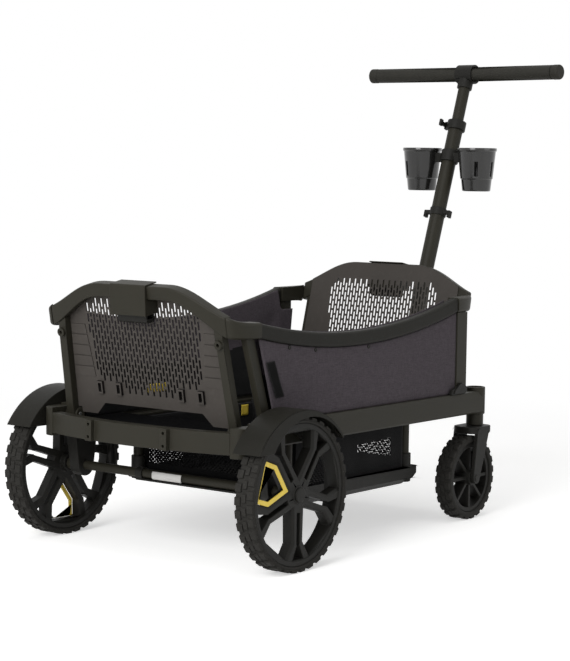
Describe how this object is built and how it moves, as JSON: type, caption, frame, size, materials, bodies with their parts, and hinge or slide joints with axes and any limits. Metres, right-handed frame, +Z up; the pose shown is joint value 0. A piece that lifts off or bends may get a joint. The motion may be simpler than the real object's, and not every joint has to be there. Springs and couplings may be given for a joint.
{
  "type": "stroller wagon",
  "caption": "Folding stroller wagon with slotted end walls, cloth sides, a hanging footwell, large rear wheels, front casters and a tall T handle with cup holders.",
  "frame": {"origin": "on the floor, below the middle of the overall length and width", "axes": "+X forward towards the handle, +Y to the wagon's left, +Z up"},
  "size_m": [1.2444, 0.662, 1.0261],
  "materials": {
    "frame": "satin",
    "moulded": "satin",
    "panel": "matt",
    "tyre": "matt",
    "side_cloth": "woven",
    "well_cloth": "woven",
    "cup": "semi gloss",
    "grip": "matt",
    "trim": "satin",
    "steel": "plated"
  },
  "bodies": {
    "chassis": {"chassis_rails": "frame", "rear_beam": "frame", "rear_castings": "frame", "rear_cross_member": "frame", "front_cross_member": "frame", "front_beam": "frame", "head_tubes": "frame", "handle_pin": "steel", "axle_legs": "moulded", "rear_axle": "frame", "fenders": "frame", "seat_boards": "moulded", "footwell_posts": "frame", "wall_hinge_pins": "steel", "side_rail_left": "frame", "side_rail_right": "frame", "side_posts": "frame", "corner_caps": "frame", "side_fabric_left": "side_cloth", "side_fabric_right": "side_cloth", "footwell_sides": "well_cloth"},
    "rear_wall": {"rear_wall_rail": "frame", "rear_wall_posts": "frame", "rear_wall_panel": "panel", "rear_panel_trim": "panel", "rear_latch_box": "frame"},
    "rear_paddle": {"rear_latch_paddle": "moulded"},
    "front_wall": {"front_wall_rail": "frame", "front_wall_posts": "frame", "front_wall_panel": "panel", "front_panel_trim": "panel", "front_latch_box": "frame"},
    "front_paddle": {"front_latch_paddle": "moulded"},
    "handle": {"handle_lower_tube": "frame", "handle_hooks": "moulded", "clamp_collar": "moulded", "cup_bracket": "moulded", "cup_left": "cup", "cup_right": "cup"},
    "lever": {"clamp_lever": "moulded"},
    "handle_top": {"handle_upper_tube": "frame", "handle_hub": "moulded", "handle_bar": "grip", "bar_end_caps": "grip"},
    "brake": {"brake_bar": "moulded"},
    "footwell": {"footwell_tray": "moulded"},
    "rear_wheel_left": {"rear_tyre_left": "tyre", "rear_rim_left": "moulded", "rear_trim_left": "trim", "rear_hub_cap_left": "moulded"},
    "caster_left": {"caster_fork_left": "moulded"},
    "caster_wheel_left": {"caster_rim_left": "moulded", "caster_tyre_left": "tyre"},
    "rear_wheel_right": {"rear_tyre_right": "tyre", "rear_rim_right": "moulded", "rear_trim_right": "trim", "rear_hub_cap_right": "moulded"},
    "caster_right": {"caster_fork_right": "moulded"},
    "caster_wheel_right": {"caster_rim_right": "moulded", "caster_tyre_right": "tyre"}
  },
  "joints": [
    {"name": "rear_wheel_left_spin", "type": "hinge", "parent": "chassis", "child": "rear_wheel_left", "pos_m": [-0.4722, 0.3025, 0.15], "axis": [0, 1, 0], "continuous": true},
    {"name": "rear_wheel_right_spin", "type": "hinge", "parent": "chassis", "child": "rear_wheel_right", "pos_m": [-0.4722, -0.3025, 0.15], "axis": [0, 1, 0], "continuous": true},
    {"name": "caster_left_swivel", "type": "hinge", "parent": "chassis", "child": "caster_left", "pos_m": [0.2778, 0.242, 0.206], "axis": [0, 0, 1], "continuous": true},
    {"name": "caster_left_spin", "type": "hinge", "parent": "caster_left", "child": "caster_wheel_left", "pos_m": [0.2408, 0.242, 0.0935], "axis": [0, 1, 0], "continuous": true},
    {"name": "caster_right_swivel", "type": "hinge", "parent": "chassis", "child": "caster_right", "pos_m": [0.2778, -0.242, 0.206], "axis": [0, 0, 1], "continuous": true},
    {"name": "caster_right_spin", "type": "hinge", "parent": "caster_right", "child": "caster_wheel_right", "pos_m": [0.2408, -0.242, 0.0935], "axis": [0, 1, 0], "continuous": true},
    {"name": "handle_pivot", "type": "hinge", "parent": "chassis", "child": "handle", "pos_m": [0.3368, 0, 0.258], "axis": [0, 1, 0], "range_deg": [-19, 60]},
    {"name": "handle_extend", "type": "slide", "parent": "handle", "child": "handle_top", "axis": [0.3322, 0, 0.9432], "range_m": [-0.08, 0.1]},
    {"name": "clamp_lever_turn", "type": "hinge", "parent": "handle", "child": "lever", "pos_m": [0.55536, 0.0275, 0.87864], "axis": [-0.3322, 0, -0.9432], "range_deg": [0, 100]},
    {"name": "rear_wall_fold", "type": "hinge", "parent": "chassis", "child": "rear_wall", "pos_m": [-0.5302, 0, 0.266], "axis": [0, 1, 0], "range_deg": [0, 98]},
    {"name": "front_wall_fold", "type": "hinge", "parent": "chassis", "child": "front_wall", "pos_m": [0.2178, 0, 0.266], "axis": [0, -1, 0], "range_deg": [0, 98]},
    {"name": "rear_latch_press", "type": "slide", "parent": "rear_wall", "child": "rear_paddle", "axis": [-0.1908, 0, 0.9816], "range_m": [0, 0.008], "stiffness_N_per_m": 150, "springref_m": -0.01},
    {"name": "front_latch_press", "type": "slide", "parent": "front_wall", "child": "front_paddle", "axis": [0.1908, 0, 0.9816], "range_m": [0, 0.008], "stiffness_N_per_m": 150, "springref_m": -0.01},
    {"name": "brake_press", "type": "hinge", "parent": "chassis", "child": "brake", "pos_m": [-0.4722, 0, 0.15], "axis": [0, -1, 0], "range_deg": [0, 16]},
    {"name": "footwell_lift", "type": "slide", "parent": "chassis", "child": "footwell", "axis": [0, 0, 1], "range_m": [0, 0.06], "deforming": ["footwell_sides"]}
  ]
}
